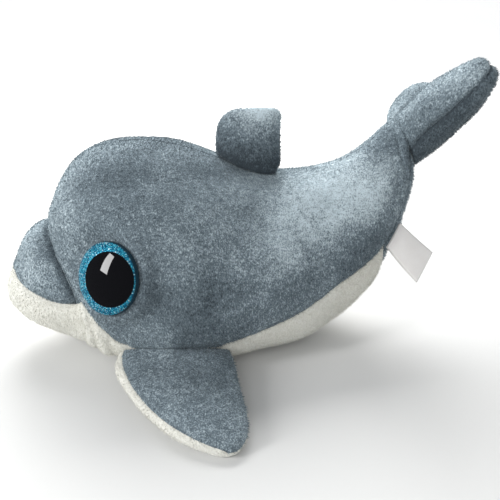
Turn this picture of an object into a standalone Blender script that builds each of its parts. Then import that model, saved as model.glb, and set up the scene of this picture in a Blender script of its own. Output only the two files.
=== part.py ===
# Plush dolphin: plush panels sewn over fibre filling, resting on its belly.
# It faces -X, its left side is towards -Y, and the table is z = 0. Metres.
# The body is drawn as it is sewn, upright and symmetric. Then it leans over and settles on the table.

from math import atan2, cos, pi, radians, sin, tan

import bmesh
import bpy
import numpy as np

# Snout, from the crease below the forehead to the nose
SNOUT_LENGTH = 0.0188
SNOUT_HEIGHT = 0.0486
SNOUT_WIDTH = 0.0460
CHEEK_BOW = 0.0090  # how far the sides of the crease lie behind its middle

# Head and trunk, from the crease to where the tail begins
TRUNK_LENGTH = 0.1080
HEAD_HEIGHT = 0.0802
BODY_WIDTH = 0.0770

# Tail, up to the joint with the flukes
TAIL_RUN = 0.0325
TAIL_LIFT = 0.0777  # height of the joint's middle
TAIL_END_DEPTH = 0.0204
TAIL_END_WIDTH = 0.0190
TAIL_END_TILT = radians(25)  # the joint's face, from upright

# How it lies
BODY_LEAN = radians(13)  # the back leans away from the side that faces -Y
SETTLE = 0.0018  # how far the filling lets the belly sink on the table

# Plush and filling
PLUSH = 0.0015
SEAM_GAP = 0.0006
FILL_GAP = 0.0009
TOUCH = 0.0003

# Eyes: a domed plastic disc with a shank, and the washer that locks it behind the plush
EYE_DIAMETER = 0.0256
EYE_FORWARD = radians(32)  # an eye's face, turned from the side to the front
EYE_UP = radians(10)  # and tipped up, as sewn
EYE_DOME = 0.0052
EYE_SINK = 0.0016
SHANK_DIAMETER = 0.0042
WASHER_DIAMETER = 0.0120
WASHER_THICKNESS = 0.0014
SHANK_BEYOND = 0.0012

# Flippers, which lie on the table
FLIPPER_SPAN = 0.0425
FLIPPER_CHORD = 0.0436
FLIPPER_THICKNESS = 0.0095

# Dorsal fin
DORSAL_RISE = 0.0225
DORSAL_CHORD = 0.0252
DORSAL_THICKNESS = 0.0100

# Fluke lobes
FLUKE_LENGTH = 0.0360
FLUKE_CHORD = 0.0230
FLUKE_THICKNESS = 0.0170
FLUKE_SPREAD_LEFT = radians(44)  # each lobe, from the middle plane
FLUKE_SPREAD_RIGHT = radians(54)
FLUKE_RISE = radians(50)  # the lobes, from level
FLUKE_ROLL = radians(17)  # the left lobe up, the right one down

# Label: a ribbon folded in two, its ends sewn into the side seam
LABEL_WIDTH = 0.0138
LABEL_LENGTH = 0.0185
LABEL_DROOP = radians(48)
LABEL_OUT = 0.35  # how far it stands out to the side for each length to the rear
RIBBON = 0.0003
RIBBON_GAP = 0.0005

# The body's rows. Each is a ring with an upper and a lower point on the middle plane.
# Shares of the snout's length and height forward of the crease, then of its half width and of the
# cheek bow, then how full the belly side is, where 2 is an ellipse.
SNOUT_ROWS = (
    (0.88, 0.70, 0.88, 0.70, 0.00, 0.00, 2.0),
    (0.80, 0.76, 0.97, 0.59, 0.28, 0.08, 2.0),
    (0.66, 0.83, 0.96, 0.48, 0.50, 0.22, 2.0),
    (0.46, 0.90, 0.80, 0.37, 0.70, 0.45, 2.0),
    (0.22, 0.96, 0.36, 0.25, 0.87, 0.75, 2.1),
    (0.00, 1.00, -0.34, 0.13, 1.00, 1.00, 2.1),
)
# Shares of the trunk's length behind the crease, and of the head's height and half width.
TRUNK_ROWS = (
    (0.011, 0.690, 0.106, 0.055, 0.68, 0.95, 2.2),
    (0.032, 0.776, 0.157, 0.025, 0.75, 0.82, 2.2),
    (0.069, 0.868, 0.208, 0.008, 0.815, 0.62, 2.3),
    (0.130, 0.942, 0.268, 0.000, 0.885, 0.42, 2.3),
    (0.222, 0.990, 0.343, 0.000, 0.955, 0.22, 2.3),
    (0.338, 1.000, 0.426, 0.000, 1.00, 0.09, 2.3),
    (0.463, 0.979, 0.519, 0.000, 0.98, 0.00, 2.3),
    (0.583, 0.929, 0.611, 0.000, 0.93, 0.00, 2.3),
    (0.699, 0.872, 0.704, 0.005, 0.87, 0.00, 2.3),
    (0.810, 0.835, 0.808, 0.022, 0.80, 0.00, 2.3),
    (0.907, 0.832, 0.918, 0.055, 0.71, 0.00, 2.3),
    (1.000, 0.855, 1.025, 0.118, 0.61, 0.00, 2.2),
)
# Shares of the way from the trunk's last row to the joint, for the upper point, the lower and the width.
TAIL_ROWS = (
    (0.29, 0.16, 0.28, 0.10, 0.20),
    (0.53, 0.37, 0.54, 0.25, 0.42),
    (0.72, 0.59, 0.72, 0.44, 0.64),
    (0.87, 0.81, 0.85, 0.62, 0.81),
    (0.97, 0.95, 0.94, 0.82, 0.93),
    (1.00, 1.00, 1.00, 1.00, 1.00),
)
CREASE = len(SNOUT_ROWS) - 1  # row of the seam between snout and forehead
LAST = len(SNOUT_ROWS) + len(TRUNK_ROWS) + len(TAIL_ROWS) - 1  # row of the joint with the flukes
LABEL_ROW = 19.52  # row where the off-white belly ends
BACK_FULLNESS = 2.05

# The seam between the grey and the off-white plush, then along the tail: row, degrees from the back
SIDE_SEAM = ((0, 62), (1.7, 62), (2.5, 77), (3.2, 88), (4.2, 93), (5, 89), (6, 88), (7.25, 99), (8, 106),
             (9.1, 117), (10.5, 123), (12.5, 125), (13.7, 121), (14.7, 114), (16.5, 108), (17.5, 106),
             (18.8, 111), (20, 122), (21.3, 129), (22.2, 118), (23, 98))

# Where the other pieces sit on the body: a row, and the turn from the back
EYE_ROW, EYE_TURN = 9.48, radians(83.6)
FLIPPER_ROW, FLIPPER_TURN = 11.09, radians(132)
DORSAL_ROW = 14.34

# Rings of the fins: shares of the way out, then of the chord from the trailing end of the root to the
# leading and the trailing edge, then of the thickness.
FLIPPER_RINGS = (
    (0.17, 0.93, -0.03, 1.00),
    (0.37, 0.83, -0.05, 1.00),
    (0.56, 0.69, -0.08, 0.98),
    (0.74, 0.53, -0.10, 0.92),
    (0.88, 0.35, -0.09, 0.78),
    (0.96, 0.18, -0.04, 0.55),
)
FLIPPER_TIP = 0.05
DORSAL_RINGS = (
    (0.25, 1.00, 0.01, 1.00),
    (0.50, 0.98, 0.02, 1.00),
    (0.75, 0.93, 0.01, 0.92),
    (0.91, 0.81, 0.00, 0.74),
    (0.98, 0.64, 0.09, 0.50),
)
DORSAL_TIP = 0.36
# Rings of a fluke lobe: shares of its length, then of its chord from the line of the leading edge to
# both edges, then of its thickness.
FLUKE_RINGS = (
    (0.18, 0.00, 0.82, 1.12),
    (0.42, -0.02, 0.93, 1.06),
    (0.65, 0.02, 0.92, 0.92),
    (0.84, 0.12, 0.82, 0.74),
    (0.95, 0.26, 0.68, 0.50),
)
FLUKE_TIP = 0.46

GREY = (0.100, 0.135, 0.175, 1)
OFF_WHITE = (0.62, 0.60, 0.55, 1)


def material(name, colour, roughness, metallic=0.0, coat=0.0):
    made = bpy.data.materials.new(name)
    made.use_nodes = True
    shader = made.node_tree.nodes["Principled BSDF"]
    shader.inputs["Base Color"].default_value = colour
    shader.inputs["Roughness"].default_value = roughness
    shader.inputs["Metallic"].default_value = metallic
    shader.inputs["Coat Weight"].default_value = coat
    made.diffuse_color = colour
    return made


# Smooth curves through hand-set rows

def between(rows, at):
    """Rows of a table, read at places between them along a smooth curve."""
    rows = np.asarray(rows, float)
    first = 2 * rows[:1] - rows[1:2]
    last = 2 * rows[-1:] - rows[-2:-1]
    padded = np.concatenate([first, rows, last])
    at = np.clip(np.asarray(at, float), 0, len(rows) - 1)
    start = np.minimum(at.astype(int), len(rows) - 2)
    part = (at - start).reshape(at.shape + (1,) * (rows.ndim - 1))
    a, b, c, d = (padded[start + k] for k in range(4))
    return b + 0.5 * part * (c - a + part * (2 * a - 5 * b + 4 * c - d + part * (3 * b - 3 * c + d - a)))


def on_curve(points, at):
    """The second column of a list of points, read smoothly by its first."""
    points = np.asarray(points, float)
    place = np.interp(at, points[:, 0], np.arange(len(points)))
    return between(points, place)[..., 1]


# Body surface

def body_rows():
    """Upper x and z, lower x and z, half width, bow and belly fullness of each row, as sewn."""
    rows = []
    for up_x, up_z, low_x, low_z, wide, bow, full in SNOUT_ROWS:
        rows.append((-up_x * SNOUT_LENGTH, up_z * SNOUT_HEIGHT, -low_x * SNOUT_LENGTH,
                     low_z * SNOUT_HEIGHT, wide * SNOUT_WIDTH / 2, bow * CHEEK_BOW, full))
    for up_x, up_z, low_x, low_z, wide, bow, full in TRUNK_ROWS:
        rows.append((up_x * TRUNK_LENGTH, up_z * HEAD_HEIGHT, low_x * TRUNK_LENGTH,
                     low_z * HEAD_HEIGHT, wide * BODY_WIDTH / 2, bow * CHEEK_BOW, full))
    start = np.array(rows[-1])
    reach, rise = TAIL_END_DEPTH / 2 * sin(TAIL_END_TILT), TAIL_END_DEPTH / 2 * cos(TAIL_END_TILT)
    middle_x = TRUNK_LENGTH + TAIL_RUN
    end = np.array((middle_x - reach, TAIL_LIFT + rise, middle_x + reach, TAIL_LIFT - rise,
                    TAIL_END_WIDTH / 2, 0, 2.1))
    for up_x, up_z, low_x, low_z, wide in TAIL_ROWS:
        share = np.array((up_x, up_z, low_x, low_z, wide, wide, wide))
        rows.append(tuple(start + share * (end - start)))
    return np.array(rows)


BODY_ROWS = body_rows()


def sewn_body(row, around):
    """Points of the body as sewn. around is 0 on the back, pi on the belly, negative on the left."""
    row, around = np.broadcast_arrays(row, around)
    up_x, up_z, low_x, low_z, wide, bow, full = np.moveaxis(between(BODY_ROWS, row), -1, 0)
    side, height = np.sin(around), np.cos(around)
    power = np.where(height > 0, BACK_FULLNESS, full)
    reach = (np.abs(side) ** power + np.abs(height) ** power) ** (-1 / power)
    x = (up_x + low_x) / 2 + reach * height * (up_x - low_x) / 2 + bow * side ** 2
    z = (up_z + low_z) / 2 + reach * height * (up_z - low_z) / 2
    return np.stack([x, wide * reach * side, z], -1)


def leaned(points):
    """Sewn points as the soft body sags: the back leans over the belly, which settles."""
    x, y, z = np.moveaxis(points, -1, 0)
    return np.stack([x, y + z * tan(BODY_LEAN), z - SETTLE], -1)


def normals_of(surface, row, around, step=0.02):
    """Outward normals of a surface, from points a little to each side."""
    along = surface(row + step, around) - surface(row - step, around)
    across = surface(row, around + step) - surface(row, around - step)
    normal = np.cross(along, across)
    return normal / np.maximum(np.linalg.norm(normal, axis=-1, keepdims=True), 1e-12)


def leaned_body(row, around):
    return leaned(sewn_body(row, around))


def eye_frame(side):
    """Middle of an eye's seat and its outward normal. side is -1 on the left, 1 on the right."""
    normal = np.array((-sin(EYE_FORWARD) * cos(EYE_UP), side * cos(EYE_FORWARD) * cos(EYE_UP), sin(EYE_UP)))
    normal[2] -= normal[1] * tan(BODY_LEAN)
    normal /= np.linalg.norm(normal)
    return leaned_body(np.array(EYE_ROW), np.array(side * EYE_TURN)) - normal * EYE_SINK, normal


EYES = {side: eye_frame(side) for side in (-1, 1)}
SEAT_RADIUS = EYE_DIAMETER / 2 + 0.0006
SEAT_SOFTNESS = 0.0080  # how far round an eye the plush is pressed in
SEAT_PULL = 0.0040  # and how far it is drawn out to the rim


def body(row, around):
    """The resting body: leant, drawn flat under the eyes, and pressed on the table."""
    points = leaned_body(row, around)
    for middle, normal in EYES.values():
        height = (points - middle) @ normal
        outward = points - middle - height[..., None] * normal
        past = np.linalg.norm(outward, axis=-1) - SEAT_RADIUS
        past = past / np.where(height > 0, SEAT_SOFTNESS, SEAT_PULL)
        hold = 1 - np.clip(past, 0, 1)
        hold = hold * hold * (3 - 2 * hold) * (np.abs(height) < SEAT_RADIUS)
        points = points - (hold * height)[..., None] * normal
    points[..., 2] = np.maximum(points[..., 2], 0)
    return points


def body_normals(row, around):
    """Outward normals of the body. At the nose, where the rows meet in a point, they all point ahead."""
    share = np.clip(np.asarray(row) / 0.8, 0, 1)[..., None]
    normal = normals_of(body, row, around) * share + np.array((-1, 0, 0)) * (1 - share)
    return normal / np.linalg.norm(normal, axis=-1, keepdims=True)


def inset_by(row, around, depth):
    """Points of the body moved inwards by a depth."""
    return body(row, around) - depth * body_normals(row, around)


def before_joint(points, gap):
    """Points kept clear of the joint's face, which the lean leaves as it is."""
    up_x, up_z, low_x, low_z = BODY_ROWS[-1][:4]
    face = np.array((cos(TAIL_END_TILT), 0, sin(TAIL_END_TILT)))
    joint = np.array(((up_x + low_x) / 2, 0, (up_z + low_z) / 2 - SETTLE))
    past = (points - joint) @ face + gap
    return points - np.maximum(past, 0)[..., None] * face


def angle_for(surface, row, around, width):
    """The turn that moves a point of a surface sideways by a width."""
    step = 0.02
    reach = np.linalg.norm(surface(row, around + step) - surface(row, around - step), axis=-1)
    return width * 2 * step / reach


def rows_for(surface, row, around, length):
    """The part of a row that moves a point of a surface along by a length."""
    step = 0.05
    reach = np.linalg.norm(surface(row + step, around) - surface(row - step, around), axis=-1)
    return length * 2 * step / reach


# Meshes

def named_object(name, mesh, look):
    made = bpy.data.objects.new(name, mesh)
    mesh.materials.append(look)
    dolphin.objects.link(made)
    return made


def finished_mesh(name, points, faces):
    """A mesh from points and faces, its poles merged and its faces turned outwards."""
    mesh = bpy.data.meshes.new(name)
    mesh.from_pydata([tuple(p) for p in points], [], faces)
    work = bmesh.new()
    work.from_mesh(mesh)
    bmesh.ops.remove_doubles(work, verts=work.verts, dist=1e-6)
    bmesh.ops.dissolve_degenerate(work, edges=work.edges, dist=1e-7)
    bmesh.ops.recalc_face_normals(work, faces=work.faces)
    if work.calc_volume(signed=True) < 0:
        bmesh.ops.reverse_faces(work, faces=work.faces)
    work.to_mesh(mesh)
    work.free()
    mesh.shade_smooth()
    return mesh


def sheet(name, outer, inner, look):
    """A panel of plush: its outer face, its back and the cut edge all round."""
    rows, columns = outer.shape[:2]
    points = np.concatenate([outer.reshape(-1, 3), inner.reshape(-1, 3)])
    count = rows * columns
    faces = []
    for r in range(rows - 1):
        for c in range(columns - 1):
            a = r * columns + c
            for corners in ((a, a + 1, a + columns + 1), (a, a + columns + 1, a + columns)):
                faces.append(corners)
                faces.append(tuple(count + k for k in reversed(corners)))
    edge = [c for c in range(columns)]
    edge += [r * columns + columns - 1 for r in range(1, rows)]
    edge += [(rows - 1) * columns + c for c in range(columns - 2, -1, -1)]
    edge += [r * columns for r in range(rows - 2, 0, -1)]
    for a, b in zip(edge, edge[1:] + edge[:1]):
        faces.append((b, a, count + a, count + b))
    return named_object(name, finished_mesh(name, points, faces), look)


def filling(name, rings, look):
    """A closed body from rings of points, the first and last drawn to a point."""
    rows, columns = rings.shape[:2]
    faces = []
    for r in range(rows - 1):
        for c in range(columns):
            a, b = r * columns + c, r * columns + (c + 1) % columns
            faces += [(a, b, b + columns), (a, b + columns, a + columns)]
    return named_object(name, finished_mesh(name, rings.reshape(-1, 3), faces), look)


def turned(name, profile, middle, normal, look, steps):
    """A piece turned about a normal, from a profile of (radius, height) that runs top to bottom."""
    mesh = bpy.data.meshes.new(name)
    points = [(radius, 0, height) for radius, height in profile]
    edges = [(k, k + 1) for k in range(len(points) - 1)]
    if profile[-1][0] > 0:
        edges.append((len(points) - 1, 0))
    mesh.from_pydata(points, edges, [])
    made = named_object(name, mesh, look)
    screw = made.modifiers.new("turn", "SCREW")
    screw.steps = screw.render_steps = steps
    screw.use_merge_vertices = True
    screw.merge_threshold = 1e-5
    screw.use_smooth_shade = True
    made.location = middle
    made.rotation_euler = (0, float(np.arccos(normal[2])), atan2(normal[1], normal[0]))
    return made


# Body panels

def side_seam(row):
    return np.radians(on_curve(SIDE_SEAM, row))


def body_panel(name, rows, start, end, columns, look):
    """Plush between two lines that run along the body, each drawn in by half the seam's gap."""
    low, high = start(rows), end(rows)
    low = low + np.sign(high - low) * angle_for(body, rows, low, SEAM_GAP / 2)
    high = high - np.sign(high - low) * angle_for(body, rows, high, SEAM_GAP / 2)
    share = np.linspace(0, 1, columns + 1)
    around = low[:, None] + (high - low)[:, None] * share
    row = np.broadcast_to(rows[:, None], around.shape)
    outer = body(row, around)
    inner = outer - PLUSH * body_normals(row, around)
    return sheet(name, before_joint(outer, SEAM_GAP / 2), before_joint(inner, SEAM_GAP / 2), look)


# Rows shared by the panels and the filling. Both also split each cell along the same diagonal, so that
# their facets run side by side.
SNOUT_STEPS = np.linspace(0, CREASE, 7)
EYE_STEPS = np.linspace(EYE_ROW - 1.6, EYE_ROW + 1.8, 7)
BACK_STEPS = np.concatenate([
    np.linspace(CREASE, EYE_STEPS[0], 5), EYE_STEPS[1:], np.linspace(EYE_STEPS[-1], LABEL_ROW, 10)[1:]
])
TAIL_STEPS = np.linspace(LABEL_ROW, LAST, 6)
SIDE_COLUMNS, BELLY_COLUMNS = 9, 8


def seam_rows(rows):
    """Rows with the first and the last drawn in by half the seam's gap."""
    rows = rows.copy()
    rows[0] += rows_for(body, rows[0], pi / 2, SEAM_GAP / 2)
    rows[-1] -= rows_for(body, rows[-1], pi / 2, SEAM_GAP / 2)
    return rows


def body_panels(grey, off_white):
    back = seam_rows(np.concatenate([BACK_STEPS, TAIL_STEPS[1:]]))
    body_panel("left_side_panel", back, lambda r: -side_seam(r), lambda r: 0 * r, SIDE_COLUMNS, grey)
    body_panel("right_side_panel", back, lambda r: 0 * r, side_seam, SIDE_COLUMNS, grey)
    nose = seam_rows(SNOUT_STEPS)
    nose[0] = 0.06
    body_panel("snout_panel", nose, lambda r: -side_seam(r), side_seam, 2 * SIDE_COLUMNS, grey)
    jaw = seam_rows(np.concatenate([SNOUT_STEPS, BACK_STEPS[1:]]))
    jaw[0] = 0.06
    body_panel("belly_panel", jaw, side_seam, lambda r: 2 * pi - side_seam(r), BELLY_COLUMNS, off_white)
    under_tail = seam_rows(TAIL_STEPS)
    body_panel("tail_underside_panel", under_tail, side_seam, lambda r: 2 * pi - side_seam(r),
               BELLY_COLUMNS, grey)


def body_filling(look):
    depth = PLUSH + FILL_GAP
    rows = np.concatenate([[0.5], SNOUT_STEPS[1:], BACK_STEPS[1:], TAIL_STEPS[1:]])
    seam = side_seam(rows)[:, None]
    over = seam * np.linspace(-1, 1, 2 * SIDE_COLUMNS + 1)
    under = seam + (2 * pi - 2 * seam) * np.linspace(0, 1, BELLY_COLUMNS + 1)[1:-1]
    turn = np.concatenate([over, under], axis=1)
    row = np.broadcast_to(rows[:, None], turn.shape)
    outer = body(row, turn)
    to_middle = outer.mean(axis=1, keepdims=True) - outer
    to_middle /= np.linalg.norm(to_middle, axis=-1, keepdims=True)
    share = np.clip(row - LAST + 2, 0, 1)[..., None]
    inward = to_middle * share - body_normals(row, turn) * (1 - share)
    inward /= np.linalg.norm(inward, axis=-1, keepdims=True)
    rings = before_joint(outer + depth * (1 + 0.7 * share) * inward, FILL_GAP)
    nose = body(0.0, 0.0)[None, :] + np.array((depth, 0, 0))
    tail = rings[-1].mean(axis=0)[None, :]
    ends = [np.repeat(point, turn.shape[1], axis=0)[None] for point in (nose, tail)]
    return filling("body_stuffing", np.concatenate([ends[0], rings, ends[1]]), look)


# Fins: a top and an under panel round a filling, with a root that hugs what carries it

TURNS = np.linspace(0, 2 * pi, 15)[:-1]  # 0 at the trailing edge, pi at the leading edge
COS, SIN = np.cos(TURNS)[:, None], np.sin(TURNS)[:, None]
FLAT_STEPS = 3  # steps from the middle of a fluke root's flat side to its corner


def root_on_body(row, around, length, thickness, top, lift=TOUCH):
    """Rings round a place on the body, lifted off it a little. top is the turn's sign upwards."""
    half_row = rows_for(body, np.array(row), np.array(around), length / 2)
    half_turn = angle_for(body, np.array(row), np.array(around), thickness / 2)

    def ring(depth, share=1.0):
        along = row + share * half_row * (1 - 2 * depth / length) * COS[:, 0]
        round_it = around + top * share * half_turn * (1 - 2 * depth / thickness) * SIN[:, 0]
        return inset_by(along, round_it, -lift)

    return ring


def fin_outward(grid):
    """Outward directions on a fin's rings. Straight out of an oval ring they would cross at its ends."""
    half = len(TURNS) // 2
    chord = grid[:-1, 0] - grid[:-1, half]
    chord /= np.linalg.norm(chord, axis=-1, keepdims=True)
    thick = grid[:-1, 1:half].mean(axis=1) - grid[:-1, half + 1:].mean(axis=1)
    thick -= np.sum(thick * chord, axis=-1, keepdims=True) * chord
    thick /= np.linalg.norm(thick, axis=-1, keepdims=True)
    middles = grid.mean(axis=1)
    axis = np.gradient(middles, axis=0)
    axis /= np.linalg.norm(axis, axis=-1, keepdims=True)
    size = np.linalg.norm(grid - middles[:, None], axis=-1).min(axis=1)
    shrink = -np.gradient(size) / np.linalg.norm(np.gradient(middles, axis=0), axis=-1)
    slope = np.clip(shrink, 0, 1)[:-1, None, None]
    outward = COS * chord[:, None] + SIN * thick[:, None] + slope * axis[:-1, None]
    outward /= np.linalg.norm(outward, axis=-1, keepdims=True)
    return np.concatenate([outward, np.broadcast_to(axis[-1], outward[:1].shape)])


def fin(name, looks, root, rings, tip, thick, count, pressed=False):
    """Two panels and a filling over rings that run from a root to a tip. thick points to the top panel."""
    table = np.stack([root(0)] + rings + [np.broadcast_to(tip, rings[0].shape)])
    grid = between(table, np.linspace(0, len(table) - 1, count + 1))
    if pressed:
        grid[..., 2] = np.maximum(grid[..., 2], 0)
    outward = fin_outward(grid)
    inner = grid - PLUSH * outward
    inner[0] = root(PLUSH)
    half = len(TURNS) // 2
    top = np.arange(half + 1)
    under = np.append(np.arange(half, len(TURNS)), 0)
    split = thick * SEAM_GAP / 2
    sheet(f"{name}_{looks[0][0]}", grid[:, top] + split, inner[:, top] + split, looks[0][1])
    low = grid[:, under] - split
    if pressed:
        low[..., 2] = np.maximum(low[..., 2], 0)
    sheet(f"{name}_{looks[1][0]}", low, inner[:, under] - split, looks[1][1])
    depth = PLUSH + FILL_GAP
    core = (grid - depth * outward)[1:-2]
    point = core[-1].mean(axis=0) + (core[-1].mean(axis=0) - core[-2].mean(axis=0)) * 0.4
    cap = [root(depth, share) for share in (0, 0.4, 0.75, 1)]
    body_rings = np.concatenate([np.stack(cap), core, np.broadcast_to(point, (1,) + core[0].shape)])
    filling(f"{name}_stuffing", body_rings, fibre)


def section(centre, chord, thick):
    """One ring of a fin, from its middle and its two half widths."""
    return centre + COS * chord + SIN * thick


def flipper(name, side):
    top = -side  # on the left the turn grows towards the back
    root = root_on_body(FLIPPER_ROW, side * FLIPPER_TURN, FLIPPER_CHORD, FLIPPER_THICKNESS, top)
    ends = root(0)
    start = ends.mean(axis=0)
    trailing = ends[0][0]
    rings = []
    for out, lead, trail, thick in FLIPPER_RINGS:
        half = FLIPPER_THICKNESS / 2 * thick
        drop = min(out / 0.6, 1)
        height = half * drop + max(start[2], half) * (1 - drop)
        middle_x = trailing - (lead + trail) / 2 * FLIPPER_CHORD
        middle = np.array((middle_x, start[1] + side * out * FLIPPER_SPAN, height))
        chord = np.array(((lead - trail) / 2 * FLIPPER_CHORD, 0, 0))
        rings.append(section(middle, chord, np.array((0, 0, half))))
    tip = np.array((trailing - FLIPPER_TIP * FLIPPER_CHORD, start[1] + side * FLIPPER_SPAN,
                    FLIPPER_RINGS[-1][3] * FLIPPER_THICKNESS / 2))
    looks = (("top_panel", grey_plush), ("underside_panel", white_plush))
    fin(name, looks, root, rings, tip, np.array((0, 0, 1.0)), 9, pressed=True)


def dorsal_fin():
    root = root_on_body(DORSAL_ROW, 0, DORSAL_CHORD, DORSAL_THICKNESS, 1, 2.5 * TOUCH)
    ends = root(0)
    start = ends.mean(axis=0)
    trailing = ends[0][0]
    up = np.array((0, sin(BODY_LEAN), cos(BODY_LEAN)))
    across = np.array((0, cos(BODY_LEAN), -sin(BODY_LEAN)))

    def place(out, back):
        middle = start + up * out * DORSAL_RISE
        return np.array((trailing - back * DORSAL_CHORD, middle[1], middle[2]))

    rings = []
    for out, lead, trail, thick in DORSAL_RINGS:
        chord = np.array(((lead - trail) / 2 * DORSAL_CHORD, 0, 0))
        rings.append(section(place(out, (lead + trail) / 2), chord, across * thick * DORSAL_THICKNESS / 2))
    looks = (("right_panel", grey_plush), ("left_panel", grey_plush))
    fin("dorsal_fin", looks, root, rings, place(1.0, DORSAL_TIP), across, 8)


def tail_end(side):
    """Half of the tail's end face, as the root of one fluke lobe."""
    up_x, up_z, low_x, low_z, wide = BODY_ROWS[-1][:5]
    middle = np.array(((up_x + low_x) / 2, 0, (up_z + low_z) / 2))
    down = np.array((low_x - up_x, 0, low_z - up_z)) / 2
    deep = np.linalg.norm(down)
    down = down / deep
    back = np.array((-down[2], 0, down[0]))  # out of the end face
    seam = float(side_seam(LAST))
    half = len(TURNS) // 2

    def ring(depth, share=1.0):
        flat = SEAM_GAP / 2 + depth
        first = np.arcsin(flat / (wide - depth))
        rise = np.linspace(0, cos(first), FLAT_STEPS + 1)
        arc = half - FLAT_STEPS + 1
        angles = np.concatenate([np.linspace(first, seam, arc), np.linspace(seam, pi - first, arc)[1:]])
        v = np.concatenate([-rise[:-1], -np.cos(angles), rise[-2:0:-1]])
        y = np.full(len(TURNS), flat)
        y[FLAT_STEPS:FLAT_STEPS + len(angles)] = (wide - depth) * np.sin(angles)
        y_middle = (flat + wide - depth) / 2
        v, y = v * share, y_middle + (y - y_middle) * share
        flat_ring = middle + v[:, None] * (deep - depth) * down + back * TOUCH
        flat_ring[:, 1] = side * y
        return leaned(flat_ring)

    return ring


def fluke(name, side):
    root = tail_end(side)
    edge = sewn_body(LAST, np.array(side * side_seam(LAST)))
    joint = (sewn_body(LAST, 0.0) + sewn_body(LAST, pi)) / 2
    spread = FLUKE_SPREAD_LEFT if side < 0 else FLUKE_SPREAD_RIGHT
    turned, tilted = cos(FLUKE_ROLL), sin(FLUKE_ROLL)
    roll = np.array(((1, 0, 0), (0, turned, tilted), (0, -tilted, turned)))
    rear = np.array((cos(FLUKE_RISE), 0, sin(FLUKE_RISE)))
    sideways = np.array((0, side, 0))
    axis = roll @ (cos(spread) * rear + sin(spread) * sideways)
    chord = roll @ (sin(spread) * rear - cos(spread) * sideways)
    thick = roll @ np.array((-sin(FLUKE_RISE), 0, cos(FLUKE_RISE)))
    start = leaned(joint) + roll @ (edge - joint)

    def place(out, back):
        return start + out * FLUKE_LENGTH * axis + back * FLUKE_CHORD * chord

    rings = [
        section(place(out, (lead + trail) / 2), chord * (trail - lead) * FLUKE_CHORD / 2,
                thick * deep * FLUKE_THICKNESS / 2)
        for out, lead, trail, deep in FLUKE_RINGS
    ]
    looks = (("top_panel", grey_plush), ("underside_panel", grey_plush))
    fin(name, looks, root, rings, place(1.0, FLUKE_TIP), thick, 9)


# Eyes

def eye(side, name):
    middle, normal = EYES[side]
    radius, rim = EYE_DIAMETER / 2, 0.14 * EYE_DOME
    shank = SHANK_DIAMETER / 2
    washer_top = -PLUSH - TOUCH
    washer_base = washer_top - WASHER_THICKNESS
    shank_end = washer_base - SHANK_BEYOND
    dome = [(radius * sin(a), TOUCH + rim + (EYE_DOME - rim) * cos(a)) for a in np.linspace(0, pi / 2, 7)]
    profile = dome + [(radius, TOUCH), (shank, TOUCH), (shank, shank_end), (0, shank_end)]
    turned(f"eye_{name}", profile, middle, normal, black_plastic, 26)
    hole, outer = shank + TOUCH / 2, WASHER_DIAMETER / 2
    ring = [(hole, washer_top), (outer, washer_top), (outer, washer_base), (hole, washer_base)]
    turned(f"eye_washer_{name}", ring, middle, normal, white_plastic, 20)
    above = EYE_DOME + 0.004
    bed = [(0, above), (SEAT_RADIUS, above), (SEAT_RADIUS, TOUCH / 3), (hole + TOUCH / 2, TOUCH / 3),
           (hole + TOUCH / 2, shank_end), (0, shank_end)]
    pocket_radius = outer + FILL_GAP
    wide, flat = SEAT_RADIUS + 1.5 * SEAT_PULL, -PLUSH - FILL_GAP
    pocket = [(0, above), (wide, above), (wide, flat - 1.7 * PLUSH), (pocket_radius, flat),
              (pocket_radius, shank_end - FILL_GAP), (0, shank_end - FILL_GAP)]
    cut(f"{name}_side_panel", turned(f"eye_bed_{name}", bed, middle, normal, black_plastic, 26))
    cut("body_stuffing", turned(f"washer_pocket_{name}", pocket, middle, normal, black_plastic, 24))


def cut(name, cutter):
    dolphin.objects.unlink(cutter)
    cutters.objects.link(cutter)
    cutter.hide_render = True
    cutter.display_type = "WIRE"
    boolean = dolphin.objects[name].modifiers.new("cut", "BOOLEAN")
    boolean.operation = "DIFFERENCE"
    boolean.object = cutter


# Label

def label():
    """A ribbon folded in two: out from the seam, round its fold and back."""
    width = rows_for(body, LABEL_ROW, -side_seam(LABEL_ROW), LABEL_WIDTH)
    rows = LABEL_ROW + width * np.linspace(0, 1, 5)
    seam = body(rows, -side_seam(rows))
    across = seam[-1] - seam[0]
    across /= np.linalg.norm(across)
    out = np.array((cos(LABEL_DROOP), -LABEL_OUT, -sin(LABEL_DROOP)))
    out /= np.linalg.norm(out)
    face = np.cross(across, out)
    face /= np.linalg.norm(face)
    offset = (RIBBON_GAP + RIBBON) / 2
    path = [(TOUCH + RIBBON, offset), (LABEL_LENGTH / 2, offset * 1.5), (LABEL_LENGTH, offset)]
    bend = [(LABEL_LENGTH + offset * sin(a), offset * cos(a)) for a in np.linspace(0, pi, 7)[1:-1]]
    path = np.array(path + bend + [(far, -lift) for far, lift in reversed(path)])
    along = np.gradient(path, axis=0)
    along /= np.linalg.norm(along, axis=1, keepdims=True)
    side = along[:, :1] * face - along[:, 1:] * out
    straight = seam[0] + np.linspace(0, LABEL_WIDTH, 5)[:, None] * across
    share = np.clip(path[:, 0] / LABEL_LENGTH, 0, 1)[:, None, None]
    middle = seam * (1 - share) + straight * share + (path[:, :1] * out + path[:, 1:] * face)[:, None]
    sheet("label", middle + side[:, None] * RIBBON / 2, middle - side[:, None] * RIBBON / 2, satin)


for old in list(bpy.data.objects):
    bpy.data.objects.remove(old)
dolphin = bpy.data.collections.new("plush_dolphin")
cutters = bpy.data.collections.new("cutters")
for group in (dolphin, cutters):
    bpy.context.scene.collection.children.link(group)

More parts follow.
